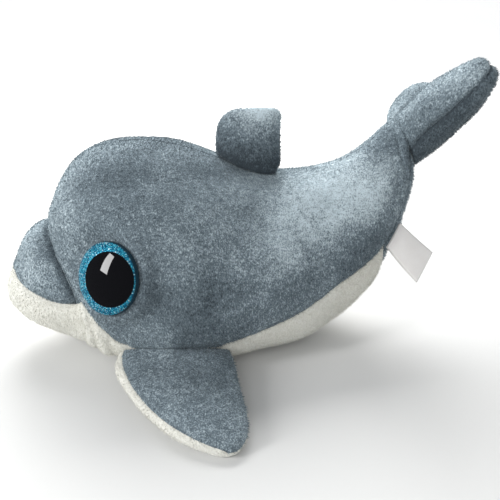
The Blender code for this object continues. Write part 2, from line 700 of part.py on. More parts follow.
grey_plush = material("grey_plush", GREY, 0.95)
white_plush = material("off_white_plush", OFF_WHITE, 0.95)
fibre = material("fibre_filling", (0.80, 0.80, 0.78, 1), 1.0)
black_plastic = material("black_eye_plastic", (0.010, 0.012, 0.015, 1), 0.08, coat=1.0)
white_plastic = material("white_washer_plastic", (0.75, 0.75, 0.73, 1), 0.45)
satin = material("white_satin", (0.80, 0.79, 0.77, 1), 0.40)

body_panels(grey_plush, white_plush)
body_filling(fibre)
flipper("flipper_left", -1)
flipper("flipper_right", 1)
dorsal_fin()
fluke("fluke_left", -1)
fluke("fluke_right", 1)
eye(-1, "left")
eye(1, "right")
label()

# The origin goes to the middle of the underside of the whole toy's box.
bpy.context.view_layer.update()
corners = np.array([
    piece.matrix_world @ vertex.co for piece in dolphin.objects if not piece.modifiers
    for vertex in piece.data.vertices
])
origin = bpy.data.objects.new("plush_dolphin_origin", None)
dolphin.objects.link(origin)
middle = (corners.min(axis=0) + corners.max(axis=0)) / 2
for piece in list(dolphin.objects) + list(cutters.objects):
    if piece is not origin:
        piece.parent = origin
origin.location = (-middle[0], -middle[1], -corners[:, 2].min())
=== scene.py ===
# Looks of the plush dolphin, dressed over its fixed solids.
# Metres, z up, its nose towards -x, its left towards -y.
from math import asin, atan2, cos, pi, radians, sin, tan

import bmesh
import bpy
import numpy as np
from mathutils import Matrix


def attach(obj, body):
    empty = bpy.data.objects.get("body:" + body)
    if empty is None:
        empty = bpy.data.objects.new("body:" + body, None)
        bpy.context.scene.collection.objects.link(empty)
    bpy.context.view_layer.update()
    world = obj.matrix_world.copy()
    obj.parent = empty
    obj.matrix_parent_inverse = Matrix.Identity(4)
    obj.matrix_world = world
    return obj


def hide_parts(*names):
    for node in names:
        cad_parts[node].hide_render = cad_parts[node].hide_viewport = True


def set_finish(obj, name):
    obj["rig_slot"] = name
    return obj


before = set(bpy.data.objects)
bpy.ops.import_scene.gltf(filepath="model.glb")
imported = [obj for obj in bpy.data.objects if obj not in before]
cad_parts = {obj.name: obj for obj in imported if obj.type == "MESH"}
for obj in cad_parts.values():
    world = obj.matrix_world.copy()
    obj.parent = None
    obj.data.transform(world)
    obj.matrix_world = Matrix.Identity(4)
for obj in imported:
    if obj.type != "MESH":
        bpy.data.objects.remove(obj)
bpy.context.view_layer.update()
print("solids loaded:", len(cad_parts))


# node trees

class Wire:  # a node's socket that Python's sums and products work on
    def __init__(self, board, socket):
        self.board, self.socket = board, socket

    def maths(self, operation, *values, clamp=False):
        settings = {"operation": operation, "use_clamp": clamp}
        return self.board.node("ShaderNodeMath", settings, dict(enumerate(values)))

    def __add__(self, other):
        return self.maths("ADD", self, other)

    def __sub__(self, other):
        return self.maths("SUBTRACT", self, other)

    def __rsub__(self, other):
        return self.maths("SUBTRACT", other, self)

    def __mul__(self, other):
        return self.maths("MULTIPLY", self, other)

    def other(self, name):  # another output of the same node
        return Wire(self.board, self.socket.node.outputs[name])

    def held(self):  # kept from 0 to 1
        return self.maths("ADD", self, 0, clamp=True)

    def step(self, low, high):  # 0 below low, 1 above high, smooth between
        return self.board.node("ShaderNodeMapRange", {"interpolation_type": "SMOOTHSTEP"},
                               {"Value": self, "From Min": low, "From Max": high})


class Board:  # one node tree, and the one way its nodes are made
    def __init__(self, tree):
        self.tree = tree

    def node(self, kind, settings=None, values=None, out=0):
        made = self.tree.nodes.new(kind)
        for key, value in (settings or {}).items():
            setattr(made, key, value)
        for key, value in (values or {}).items():
            self.feed(made.inputs[key], value)
        return None if out is None else Wire(self, made.outputs[out])

    def feed(self, socket, value):
        if isinstance(value, Wire):
            self.tree.links.new(value.socket, socket)
        else:
            socket.default_value = value

    def blend(self, share, first, second):  # two colours
        first, second = (value if isinstance(value, Wire) else (*value, 1) for value in (first, second))
        return self.node("ShaderNodeMix", {"data_type": "RGBA"}, {0: share, 6: first, 7: second}, 2)


class Finish(Board):  # a material with one shader
    def __init__(self, name, **fixed):
        self.material = bpy.data.materials.new(name)
        self.material.use_nodes = True
        super().__init__(self.material.node_tree)
        self.shader = self.tree.nodes["Principled BSDF"].inputs
        for key, value in fixed.items():
            self.shader[key.replace("_", " ")].default_value = value

    def vary(self, socket, value):
        self.feed(self.shader[socket], value)

    def place(self, layer=None):  # object coordinates, or a UV layer's
        if layer:
            return self.node("ShaderNodeUVMap", {"uv_map": layer})
        return self.node("ShaderNodeTexCoord", out="Object")

    def noise(self, place, scale, **shape):
        return self.node("ShaderNodeTexNoise", None, {"Vector": place, "Scale": scale, **shape})

    def bands(self, place, axis, scale, distortion):
        return self.node("ShaderNodeTexWave", {"bands_direction": axis},
                         {"Vector": place, "Scale": scale, "Distortion": distortion, "Detail": 1})

    def ramp(self, share, stops):  # a colour for each share from 0 to 1
        made = self.node("ShaderNodeValToRGB", None, {"Fac": share})
        ends = made.socket.node.color_ramp.elements
        for end, (at, colour) in zip((ends[0], ends[-1]), (stops[0], stops[-1])):
            end.position, end.color = at, (*colour, 1)
        for at, colour in stops[1:-1]:
            ends.new(at).color = (*colour, 1)
        return made

    def bump(self, height, distance, strength=1.0):
        values = {"Height": height, "Strength": strength, "Distance": distance}
        self.vary("Normal", self.node("ShaderNodeBump", None, values))


# finishes

plushLooks = {
    "grey": {"dark": (0.044, 0.057, 0.068), "base": (0.152, 0.193, 0.220), "pale": (0.540, 0.625, 0.665)},
    "offWhite": {"dark": (0.530, 0.515, 0.460), "base": (0.680, 0.675, 0.620),
                 "pale": (0.800, 0.800, 0.760)},
    # noise per metre, and how far each one lightens or darkens the pile; then how far the painted light and
    # shade over stroked pile, and the painted shade along the seams, lighten or darken it
    "tufts": (2500, 1.65), "clumps": (640, 0.60), "lighterAndDarkerPatches": (55, 0.65), "brushedAndPaintedLight": 0.36, "seam": 0.20,
    "combed": (0.85, 1.0, 0.5), "tuftRelief": 0.55, "clumpRelief": 0.60, "nap": 0.0006,
}


def plushFinish(name, look):
    form = plushLooks
    finish = Finish(name, Roughness=0.92, Sheen_Weight=0.75, Sheen_Roughness=0.38,
                    Sheen_Tint=(*look["pale"], 1), Specular_IOR_Level=0.15)
    place = finish.place()
    combed = finish.node("ShaderNodeVectorMath", {"operation": "MULTIPLY"}, {0: place, 1: form["combed"]})
    tufts = finish.noise(combed, form["tufts"][0], Detail=2.5, Roughness=0.62)
    clumps = finish.noise(place, form["clumps"][0], Detail=2.0, Roughness=0.55)
    lighterAndDarkerPatches = finish.noise(place, form["lighterAndDarkerPatches"][0], Detail=3.0, Roughness=0.5, Distortion=0.7)
    # marks from the mesh: the seams, and painted light and shade over stroked pile
    seam, brushedAndPaintedLight = (finish.node("ShaderNodeAttribute", {"attribute_name": mark}, out="Fac")
                     for mark in ("seam", "brushedAndPaintedLight"))
    speck = (tufts - 0.5) * form["tufts"][1] + (clumps - 0.5) * form["clumps"][1]
    speck = speck + (lighterAndDarkerPatches - 0.5) * form["lighterAndDarkerPatches"][1] + brushedAndPaintedLight * form["brushedAndPaintedLight"] + 0.5
    # darker along the seams: painted shade in the seam grooves
    speck = (speck - seam * form["seam"]).held()
    stops = ((0.0, look["dark"]), (0.5, look["base"]), (1.0, look["pale"]))
    finish.vary("Base Color", finish.ramp(speck, stops))
    finish.bump(tufts * form["tuftRelief"] + clumps * form["clumpRelief"], form["nap"], 0.75)
    return finish.material


fibreLooks = {"scale": 700, "colours": ((0.66, 0.66, 0.63), (0.86, 0.86, 0.84)), "relief": 0.0006}
washerLooks = {"scale": 260, "colours": ((0.70, 0.70, 0.67), (0.78, 0.78, 0.76)),
               "roughness": 0.34, "clouding": 0.2}


def fibreFinish():
    finish = Finish("looseFibre", Roughness=1.0, Sheen_Weight=0.3)
    strands = finish.noise(finish.place(), fibreLooks["scale"], Detail=4, Distortion=3.0)
    finish.vary("Base Color", finish.blend(strands, *fibreLooks["colours"]))
    finish.bump(strands, fibreLooks["relief"])
    return finish.material


def washerFinish():
    finish = Finish("mouldedWasher", Roughness=0.42)
    cloud = finish.noise(finish.place(), washerLooks["scale"], Detail=2)
    finish.vary("Base Color", finish.blend(cloud, *washerLooks["colours"]))
    finish.vary("Roughness", cloud * washerLooks["clouding"] + washerLooks["roughness"])
    return finish.material


plush = {"grey_plush": plushFinish("greyPlush", plushLooks["grey"]),
         "off_white_plush": plushFinish("offWhitePlush", plushLooks["offWhite"])}
looseFibre, mouldedWasher = fibreFinish(), washerFinish()
for node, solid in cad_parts.items():
    if node.endswith("_stuffing") or "washer" in node:
        solid.data.materials.clear()
        solid.data.materials.append(looseFibre if node.endswith("_stuffing") else mouldedWasher)
print("finishes made")


# smooth curves through given rows

def unit(vectors):
    return vectors / np.maximum(np.linalg.norm(vectors, axis=-1, keepdims=True), 1e-12)


def readRows(rows, at):
    rows = np.asarray(rows, float)
    padded = np.concatenate([2 * rows[:1] - rows[1:2], rows, 2 * rows[-1:] - rows[-2:-1]])
    at = np.clip(np.asarray(at, float), 0, len(rows) - 1)
    start = np.minimum(at.astype(int), len(rows) - 2)
    part = (at - start).reshape(at.shape + (1,) * (rows.ndim - 1))
    a, b, c, d = (padded[start + k] for k in range(4))
    return b + 0.5 * part * (c - a + part * (2 * a - 5 * b + 4 * c - d + part * (3 * b - 3 * c + d - a)))


def readCurve(points, at):
    points = np.asarray(points, float)
    return readRows(points, np.interp(at, points[:, 0], np.arange(len(points))))[..., 1]


def ripple(points, size, seed, waves=14, spread=(1.3, 3.2)):  # waves about 1 high, bumps about that size
    chance = np.random.default_rng(seed)
    total = np.zeros(points.shape[:-1])
    for _ in range(waves):
        heading = chance.normal(size=3)
        heading *= 2 * pi / (size * chance.uniform(*spread)) / np.linalg.norm(heading)
        total += np.sin(points @ heading + chance.uniform(0, 2 * pi))
    return total / waves ** 0.5


def along(points, axis):  # running length of a grid's lines
    steps = np.linalg.norm(np.diff(points, axis=axis), axis=-1)
    return np.concatenate([np.zeros_like(np.take(steps, [0], axis)), np.cumsum(steps, axis)], axis)


# the body's surface, from the same rows as its solids

bodyForm = {
    "snoutLength": 0.0188, "snoutHeight": 0.0486, "snoutWidth": 0.0460, "cheekBow": 0.0090,
    "trunkLength": 0.1080, "headHeight": 0.0802, "width": 0.0770,
    "tailRun": 0.0325, "tailLift": 0.0777, "tailEndDepth": 0.0204, "tailEndWidth": 0.0190,
    "tailEndTilt": radians(25), "backFullness": 2.05,
    "lean": radians(13), "settle": 0.0018, "shift": np.array((-0.073925, -0.002697, 0)),
    # upper x and z, lower x and z, half width, bow of the cheeks, fullness of the lower half
    "snoutRows": (
        (0.88, 0.70, 0.88, 0.70, 0.00, 0.00, 2.0), (0.80, 0.76, 0.97, 0.59, 0.28, 0.08, 2.0),
        (0.66, 0.83, 0.96, 0.48, 0.50, 0.22, 2.0), (0.46, 0.90, 0.80, 0.37, 0.70, 0.45, 2.0),
        (0.22, 0.96, 0.36, 0.25, 0.87, 0.75, 2.1), (0.00, 1.00, -0.34, 0.13, 1.00, 1.00, 2.1)),
    "trunkRows": (
        (0.011, 0.690, 0.106, 0.055, 0.68, 0.95, 2.2), (0.032, 0.776, 0.157, 0.025, 0.75, 0.82, 2.2),
        (0.069, 0.868, 0.208, 0.008, 0.815, 0.62, 2.3), (0.130, 0.942, 0.268, 0.000, 0.885, 0.42, 2.3),
        (0.222, 0.990, 0.343, 0.000, 0.955, 0.22, 2.3), (0.338, 1.000, 0.426, 0.000, 1.00, 0.09, 2.3),
        (0.463, 0.979, 0.519, 0.000, 0.98, 0.00, 2.3), (0.583, 0.929, 0.611, 0.000, 0.93, 0.00, 2.3),
        (0.699, 0.872, 0.704, 0.005, 0.87, 0.00, 2.3), (0.810, 0.835, 0.808, 0.022, 0.80, 0.00, 2.3),
        (0.907, 0.832, 0.918, 0.055, 0.71, 0.00, 2.3), (1.000, 0.855, 1.025, 0.118, 0.61, 0.00, 2.2)),
    # how far each of those has come from the trunk's end to the tail's
    "tailRows": (
        (0.29, 0.16, 0.28, 0.10, 0.20), (0.53, 0.37, 0.54, 0.25, 0.42), (0.72, 0.59, 0.72, 0.44, 0.64),
        (0.87, 0.81, 0.85, 0.62, 0.81), (0.97, 0.95, 0.94, 0.82, 0.93), (1.00, 1.00, 1.00, 1.00, 1.00)),
    # row, and degrees from the back
    "sideSeam": (
        (0, 62), (1.7, 62), (2.5, 77), (3.2, 88), (4.2, 93), (5, 89), (6, 89), (7.25, 102), (8, 112),
        (9.1, 124), (10.2, 130), (11.5, 132), (12.8, 129), (13.8, 122), (14.8, 115), (16.5, 108),
        (17.5, 106), (18.8, 111), (20, 122), (21.3, 129), (22.2, 118), (23, 98)),
    "crease": 5, "last": 23, "bellyEnd": 19.52, "noseRows": 0.8,
    "measuredRows": 900, "measuredTurns": (0.3, -1.5, 2.2),
}
eyeForm = {
    "diameter": 0.0256, "forward": radians(32), "up": radians(10), "dome": 0.0052, "sink": 0.0016,
    "row": 9.48, "turn": radians(83.6), "seatRim": 0.0006, "seatSoftness": 0.0080, "seatPull": 0.0040,
    "lift": 0.0003, "rimShare": 0.14, "edge": ((0, 0.0003), (-0.0001, 0.00008), (-0.0004, 0)),
    "shank": 0.0021, "shankEnd": -0.0044, "shankRound": 0.0003, "spokes": 128, "rings": 34,
    # the print, in shares of the radius
    "pupil": 0.740, "pupilShift": (0.215, 0.035), "pupilBlur": 0.012, "darkRim": (0.955, 0.985),
    "pupilColour": (0.003, 0.003, 0.004), "rimColour": (0.010, 0.030, 0.045), "flakes": 44,
    "glitter": ((0.0, (0.004, 0.045, 0.105)), (0.35, (0.010, 0.150, 0.290)), (0.65, (0.024, 0.345, 0.530)),
                (0.86, (0.090, 0.610, 0.770)), (1.0, (0.720, 0.930, 1.000))),
}


def bodyTable():
    form, rows = bodyForm, []
    for table, length, height, width in (
            (form["snoutRows"], -form["snoutLength"], form["snoutHeight"], form["snoutWidth"]),
            (form["trunkRows"], form["trunkLength"], form["headHeight"], form["width"])):
        for upX, upZ, lowX, lowZ, wide, bow, full in table:
            rows.append((upX * length, upZ * height, lowX * length, lowZ * height, wide * width / 2,
                         bow * form["cheekBow"], full))
    start = np.array(rows[-1])
    reach = form["tailEndDepth"] / 2 * sin(form["tailEndTilt"])
    rise = form["tailEndDepth"] / 2 * cos(form["tailEndTilt"])
    middle = form["trunkLength"] + form["tailRun"]
    end = np.array((middle - reach, form["tailLift"] + rise, middle + reach, form["tailLift"] - rise,
                    form["tailEndWidth"] / 2, 0, 2.1))
    for share in form["tailRows"]:
        rows.append(tuple(start + np.array(share + share[-1:] * 2) * (end - start)))
    return np.array(rows)


bodyRows = bodyTable()


def sewnBody(row, around):  # around is 0 on the back, pi on the belly, negative on the left
    row, around = np.broadcast_arrays(row, around)
    upX, upZ, lowX, lowZ, wide, bow, full = np.moveaxis(readRows(bodyRows, row), -1, 0)
    side, height = np.sin(around), np.cos(around)
    power = np.where(height > 0, bodyForm["backFullness"], full)
    reach = (np.abs(side) ** power + np.abs(height) ** power) ** (-1 / power)
    x = (upX + lowX) / 2 + reach * height * (upX - lowX) / 2 + bow * side ** 2
    z = (upZ + lowZ) / 2 + reach * height * (upZ - lowZ) / 2
    return np.stack([x, wide * reach * side, z], -1)


def leaned(points):
    x, y, z = np.moveaxis(points, -1, 0)
    return np.stack([x, y + z * tan(bodyForm["lean"]), z - bodyForm["settle"]], -1) + bodyForm["shift"]


def eyePlace(side):
    forward, up = eyeForm["forward"], eyeForm["up"]
    normal = np.array((-sin(forward) * cos(up), side * cos(forward) * cos(up), sin(up)))
    normal[2] -= normal[1] * tan(bodyForm["lean"])
    normal = unit(normal)
    seat = leaned(sewnBody(np.array(eyeForm["row"]), np.array(side * eyeForm["turn"])))
    return seat - normal * eyeForm["sink"], normal


eyes = {side: eyePlace(side) for side in (-1, 1)}


def restingBody(row, around):  # leant over, drawn flat under the eyes and pressed on the table
    points = leaned(sewnBody(row, around))
    radius = eyeForm["diameter"] / 2 + eyeForm["seatRim"]
    for middle, normal in eyes.values():
        height = (points - middle) @ normal
        past = np.linalg.norm(points - middle - height[..., None] * normal, axis=-1) - radius
        hold = 1 - np.clip(past / np.where(height > 0, eyeForm["seatSoftness"], eyeForm["seatPull"]), 0, 1)
        hold = hold * hold * (3 - 2 * hold) * (np.abs(height) < radius)
        points = points - (hold * height)[..., None] * normal
    points[..., 2] = np.maximum(points[..., 2], 0)
    return points


def bodyOutward(row, around, step=0.02):  # at the nose, where the rows meet in a point, straight ahead
    ahead = restingBody(row + step, around) - restingBody(row - step, around)
    across = restingBody(row, around + step) - restingBody(row, around - step)
    share = np.clip(np.asarray(row) / bodyForm["noseRows"], 0, 1)[..., None]
    return unit(unit(np.cross(ahead, across)) * share + np.array((-1, 0, 0)) * (1 - share))


def paces(row, around, rowStep=0.05, turnStep=0.02):  # metres per row and per radian at one place
    row, around = np.array(float(row)), np.array(float(around))
    ahead = restingBody(row + rowStep, around) - restingBody(row - rowStep, around)
    across = restingBody(row, around + turnStep) - restingBody(row, around - turnStep)
    return np.linalg.norm(ahead) / (2 * rowStep), np.linalg.norm(across) / (2 * turnStep)


def seamTurn(row):
    return np.radians(readCurve(bodyForm["sideSeam"], row))


def evenRows(first, last, spacing):  # rows about that far apart, measured along three lines of the body
    rows, lines = np.linspace(first, last, bodyForm["measuredRows"]), bodyForm["measuredTurns"]
    length = sum(along(restingBody(rows, turn), 0) for turn in lines) / len(lines)
    return np.interp(np.linspace(0, length[-1], int(length[-1] / spacing) + 2), length, rows)


# meshes

mergeWithin = 1e-6


def linked(name, data):
    piece = bpy.data.objects.new(name, data)
    bpy.context.scene.collection.objects.link(piece)
    return piece


def closedMesh(name, points, faces, finish, marks=None):
    mesh = bpy.data.meshes.new(name)
    mesh.from_pydata(points.tolist(), [], faces)
    for key, values in (marks or {}).items():
        mesh.attributes.new(key, "FLOAT", "POINT").data.foreach_set("value", values.astype(np.float32))
    work = bmesh.new()
    work.from_mesh(mesh)
    bmesh.ops.remove_doubles(work, verts=work.verts, dist=mergeWithin)
    bmesh.ops.recalc_face_normals(work, faces=work.faces)
    if work.calc_volume(signed=True) < 0:
        bmesh.ops.reverse_faces(work, faces=work.faces)
    work.to_mesh(mesh)
    work.free()
    mesh.shade_smooth()
    mesh.materials.append(finish)
    return linked(name, mesh)


def flatLayer(piece, layer, start, across, up, size):  # a UV layer as seen square on
    corners = np.empty(len(piece.data.loops), np.int32)
    piece.data.loops.foreach_get("vertex_index", corners)
    places = np.array([v.co for v in piece.data.vertices]) - start
    flat = np.stack([places @ across, places @ up], -1) / size
    made = piece.data.uv_layers.new(name=layer)
    made.data.foreach_set("uv", flat[corners].astype(np.float32).ravel())


def sheetOf(name, outer, inner, finish, seam, brushedAndPaintedLight=0):  # a sheet with its face, its back and its cut edge
    rows, columns = outer.shape[:2]
    count = rows * columns
    index = np.arange(count).reshape(rows, columns)
    quads = np.stack([index[:-1, :-1], index[:-1, 1:], index[1:, 1:], index[1:, :-1]], -1).reshape(-1, 4)
    rim = np.concatenate([index[0], index[1:, -1], index[-1, -2::-1], index[-2:0:-1, 0]])
    wall = np.stack([np.roll(rim, -1), rim, rim + count, np.roll(rim, -1) + count], -1)
    faces = np.concatenate([quads, quads[:, ::-1] + count, wall]).tolist()
    points = np.concatenate([outer.reshape(-1, 3), inner.reshape(-1, 3)])
    free = outer[..., 2].ravel() > pileForm["clearOfTable"]
    pile = (1 - pileForm["thinnedAtSeam"] * seam.ravel()) * free
    # the seam mark thins the pile and darkens the colour as painted shade; the other mark is painted light
    # and shade over stroked pile
    marks = {"seam": np.tile(seam.ravel(), 2), "pile": np.concatenate([pile, np.zeros(count)]),
             "brushedAndPaintedLight": np.tile((brushedAndPaintedLight + 0 * seam).ravel(), 2)}
    return closedMesh(name, points, faces, finish, marks)


def dress(piece, slot):
    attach(piece, "root")
    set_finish(piece, slot)
    return piece


# short pile, one three-sided strand at a time

pileForm = {"Length": 0.0009, "Thickness": 0.00012, "Density": 2.4e6, "Stray": 0.5, "lean": (0.8, 0, -0.35),
            "clearOfTable": 0.0022, "thinnedAtSeam": 0.6}


def pileTree():
    tree = bpy.data.node_groups.new("shortPile", "GeometryNodeTree")
    tree.interface.new_socket("Geometry", in_out="INPUT", socket_type="NodeSocketGeometry")
    for words in ("Length", "Thickness", "Density", "Stray"):
        tree.interface.new_socket(words, in_out="INPUT", socket_type="NodeSocketFloat")
    tree.interface.new_socket("Plush", in_out="INPUT", socket_type="NodeSocketMaterial")
    tree.interface.new_socket("Geometry", in_out="OUTPUT", socket_type="NodeSocketGeometry")
    board = Board(tree)

    def vectors(operation, first, second):
        return board.node("ShaderNodeVectorMath", {"operation": operation}, {0: first, **second})

    skin = board.node("NodeGroupInput", out="Geometry")
    share = board.node("GeometryNodeInputNamedAttribute", {"data_type": "FLOAT"}, {"Name": "pile"},
                       "Attribute")
    spots = board.node("GeometryNodeDistributePointsOnFaces", None, {
        "Mesh": skin, "Density": share * skin.other("Density"), "Seed": 3}, "Points")
    strand = board.node("GeometryNodeMeshCone", {"fill_type": "NGON"}, {
        "Vertices": 3, "Radius Top": 0.0, "Radius Bottom": skin.other("Thickness"),
        "Depth": skin.other("Length")}, "Mesh")
    stray = board.node("FunctionNodeRandomValue", {"data_type": "FLOAT_VECTOR"}, {
        0: (-1, -1, -1), 1: (1, 1, 1), "Seed": 4})
    stray = vectors("SCALE", stray, {"Scale": skin.other("Stray")})
    combed = vectors("ADD", stray, {1: pileForm["lean"]})
    heading = vectors("ADD", combed, {1: spots.other("Normal")})
    turn = board.node("FunctionNodeAlignRotationToVector", {"axis": "Z"}, {"Vector": heading})
    size = board.node("FunctionNodeRandomValue", {"data_type": "FLOAT"}, {2: 0.6, 3: 1.25, "Seed": 5}, 1)
    strands = board.node("GeometryNodeInstanceOnPoints", None, {
        "Points": spots, "Instance": strand, "Rotation": turn, "Scale": size})
    single = board.node("GeometryNodeRealizeInstances", None, {"Geometry": strands})
    board.node("NodeGroupOutput", None, {"Geometry": board.node("GeometryNodeSetMaterial", None, {
        "Geometry": single, "Material": skin.other("Plush")})}, None)
    return tree


shortPile = pileTree()


def pileOn(panel, slot):
    base = linked(panel.name + "Pile", panel.data.copy())
    grower = base.modifiers.new("pile", "NODES")
    grower.node_group = shortPile
    for socket in shortPile.interface.items_tree:
        if socket.in_out == "INPUT" and socket.name in pileForm:
            grower[socket.identifier] = pileForm[socket.name]
        elif socket.name == "Plush":
            grower[socket.identifier] = panel.data.materials[0]
    bpy.context.view_layer.update()
    grown = bpy.data.meshes.new_from_object(base.evaluated_get(bpy.context.evaluated_depsgraph_get()))
    base.modifiers.clear()
    base.data = grown
    return dress(base, slot)


# body panels

panelForm = {
    "spacing": 0.0009, "wall": 0.0019, "offTable": 0.0004, "deepest": 0.0016,
    "groove": 0.0007, "grooveWidth": 0.0011, "roll": 0.0006, "rollWidth": 0.0040, "seamWidth": 0.00143,
    "pucker": 0.00022, "puckerSize": 0.0046 / 2.2, "puckerWidth": 0.0032,
    "swell": 0.00045, "swellSize": 0.012, "dimple": 0.00016, "dimpleSize": 0.0045, "fullFrom": 0.006,
    # its height, and its row and reach on top of the snout
    "snoutSwell": (0.0030, 3.9, 1.7),
    # lighter and darker spots, partly pile stroked one way or another and partly painted light and shade:
    # painted light on the top of the back and the snout, painted shade low on the sides, in the crease and on
    # the tail: row, degrees from the back, their reaches, strength
    "lighterAndDarkerPatches": (
        (16.9, -33, 1.8, 32, 1.40), (19.3, -64, 1.5, 24, 1.00), (15.2, -62, 0.8, 22, 0.50),
        (18.3, -92, 1.5, 16, -0.55), (12.2, -100, 2.6, 22, -0.60), (10.8, -28, 1.7, 30, -0.35),
        (8.2, -40, 0.9, 12, 0.30), (20.7, -20, 1.3, 28, -0.45), (9.0, -12, 2.6, 22, 0.15),
        (22.6, -95, 0.8, 24, -0.75), (13.2, -66, 1.7, 20, 0.25), (5.0, -40, 0.35, 60, -0.60),
        (3.0, -35, 1.5, 50, 0.50), (17.0, 40, 3.0, 40, 0.60), (12.0, 100, 3.0, 30, -0.40)),
    # folds at the throat and the tail: row, degrees from the back, their reaches, depth
    "folds": (
        (5.7, -118, 0.30, 34, 0.0015), (6.9, -124, 0.34, 26, 0.0014), (8.3, -136, 0.34, 20, 0.0010),
        (5.9, 118, 0.30, 34, 0.0013), (7.3, 126, 0.34, 24, 0.0012), (21.6, -58, 0.16, 40, 0.0007),
        (20.9, -84, 0.18, 26, 0.0006), (21.7, 62, 0.18, 36, 0.0006), (14.9, -52, 0.5, 10, 0.0006)),
}


def spotsAt(row, around, spots):  # soft spots on the body, each one's height at its middle
    degrees, total = (np.degrees(around) + 180) % 360 - 180, 0
    for atRow, atTurn, rowReach, turnReach, height in spots:
        past = ((row - atRow) / rowReach) ** 2 + ((degrees - atTurn) / turnReach) ** 2
        total = total + height * np.exp(-past)
    return total


def sewnSurface(skin, outward, edges, seed, swell=0):
    # the plush between its seams: grooves along them with small puckers, soft bumps of the filling elsewhere.
    # edges holds each edge's distance and how deeply it is sewn.
    form, seam = panelForm, 0
    nearest = np.minimum.reduce([np.broadcast_to(distance, skin.shape[:2]) for distance, _ in edges])
    filling = form["swell"] * ripple(skin, form["swellSize"], 5)
    filling = filling + form["dimple"] * ripple(skin, form["dimpleSize"], 6)
    rise = filling * np.clip(nearest / form["fullFrom"], 0, 1) + swell
    pleats = form["pucker"] * ripple(skin, form["puckerSize"], seed)
    for distance, depth in edges:
        groove, roll, pucker, stitched = (np.exp(-(distance / form[width]) ** 2) for width in (
            "grooveWidth", "rollWidth", "puckerWidth", "seamWidth"))
        rise = rise - depth * (form["groove"] * groove + form["roll"] * roll)
        rise = rise + min(depth, 1) * pleats * pucker
        # the seam mark, which thins the pile and darkens the colour there as painted shade
        seam = np.maximum(seam, min(depth, 1) * stitched)
    moved = skin + outward * np.maximum(rise, -form["deepest"])[..., None]
    moved[..., 2] = np.maximum(moved[..., 2], 0)
    return moved, np.broadcast_to(seam, skin.shape[:2])


def bodyPanel(name, node, slot, rows, start, end, columns, sewn, seed):
    # sewn is how deeply its start, end, first row and last row are sewn
    low, high = start(rows)[:, None], end(rows)[:, None]
    around = low + (high - low) * np.linspace(0, 1, columns)
    row = np.broadcast_to(rows[:, None], around.shape)
    skin, outward = restingBody(row, around), bodyOutward(row, around)
    across, length = along(skin, 1), along(skin, 0)
    distances = (across, across[:, -1:] - across, length, length[-1:] - length)
    edges = [(distance, depth) for distance, depth in zip(distances, sewn) if depth > 0]
    height, atRow, reach = panelForm["snoutSwell"]
    swell = height * np.exp(-((row - atRow) / reach) ** 2) * np.clip(np.cos(around), 0, 1)
    swell = swell - spotsAt(row, around, panelForm["folds"])
    outer, seam = sewnSurface(skin, outward, edges, seed, swell)
    inner = skin - outward * panelForm["wall"]
    inner[..., 2] = np.maximum(inner[..., 2], panelForm["offTable"])
    # the spots paint light and shade into its colour, and the seam mark paints shade along the seams
    piece = sheetOf(name, outer, inner, plush[slot], seam, spotsAt(row, around, panelForm["lighterAndDarkerPatches"]))
    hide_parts(node)
    return dress(piece, slot)


def leftSeam(row):
    return -seamTurn(row)


def underSeam(row):  # the left seam again, reached by way of the belly
    return 2 * pi - seamTurn(row)


def backSeam(row):
    return 0 * row


def bodyPanels():
    back, nose, belly, tail = (evenRows(first, last, panelForm["spacing"]) for first, last in (
        (bodyForm["crease"], bodyForm["last"]), (0, bodyForm["crease"]),
        (0, bodyForm["bellyEnd"]), (bodyForm["bellyEnd"], bodyForm["last"])))
    return [
        bodyPanel("leftSide", "left_side_panel", "grey_plush", back, leftSeam, backSeam, 84,
                  (0.8, 0.2, 1.5, 0.4), 11),
        bodyPanel("rightSide", "right_side_panel", "grey_plush", back, backSeam, seamTurn, 84,
                  (0.2, 0.8, 1.5, 0.4), 12),
        bodyPanel("snout", "snout_panel", "grey_plush", nose, leftSeam, seamTurn, 90, (0.6, 0.6, 0, 1.5), 13),
        bodyPanel("belly", "belly_panel", "off_white_plush", belly, seamTurn, underSeam, 90,
                  (0.6, 0.6, 0, 0.8), 14),
        bodyPanel("tailUnderside", "tail_underside_panel", "grey_plush", tail, seamTurn, underSeam, 44,
                  (0.7, 0.7, 0.8, 0.4), 15),
    ]


plushPieces = bodyPanels()
print("body panels sewn:", sum(len(piece.data.polygons) for piece in plushPieces), "faces")


# fins: rings from a root that hugs the body to a rounded tip. A ring's numbers are how far out it is,
# its leading and trailing edges along the chord, and its thickness. sewn and joined are how deeply
# the seams along its rim and at its root are sewn, and plump how far the filling swells it.

finForm = {
    "turns": 96, "steps": 58, "columns": 50, "wall": 0.0015, "rim": (0.0021, 0.0008), "rootLift": 0.0002,
    # how far out the filling swells it and how evenly, and limits that keep a pressed top panel whole
    "plumpReach": 1.15, "plumpPower": 0.7, "narrowest": 0.3, "leastReach": 1e-5,
}
flipperForm = {
    "span": 0.0425, "chord": 0.0436, "thickness": 0.0095, "row": 11.09, "turn": radians(132), "tip": 0.05,
    "rings": ((0.17, 0.93, -0.03, 1.00), (0.37, 0.83, -0.05, 1.00), (0.56, 0.69, -0.08, 0.98),
              (0.74, 0.53, -0.10, 0.92), (0.88, 0.35, -0.09, 0.78), (0.96, 0.18, -0.04, 0.55)),
    "level": 0.6, "plump": 0.0007, "sewn": 0.45, "joined": 0.3,
}
dorsalForm = {
    "rise": 0.0225, "chord": 0.0252, "thickness": 0.0100, "row": 14.34, "tip": 0.36,
    "rings": ((0.25, 1.00, 0.01, 1.00), (0.50, 0.98, 0.02, 1.00), (0.75, 0.93, 0.01, 0.92),
              (0.91, 0.81, 0.00, 0.74), (0.98, 0.64, 0.09, 0.50)),
    "plump": 0.0011, "sewn": 0.45, "joined": 0.7,
}
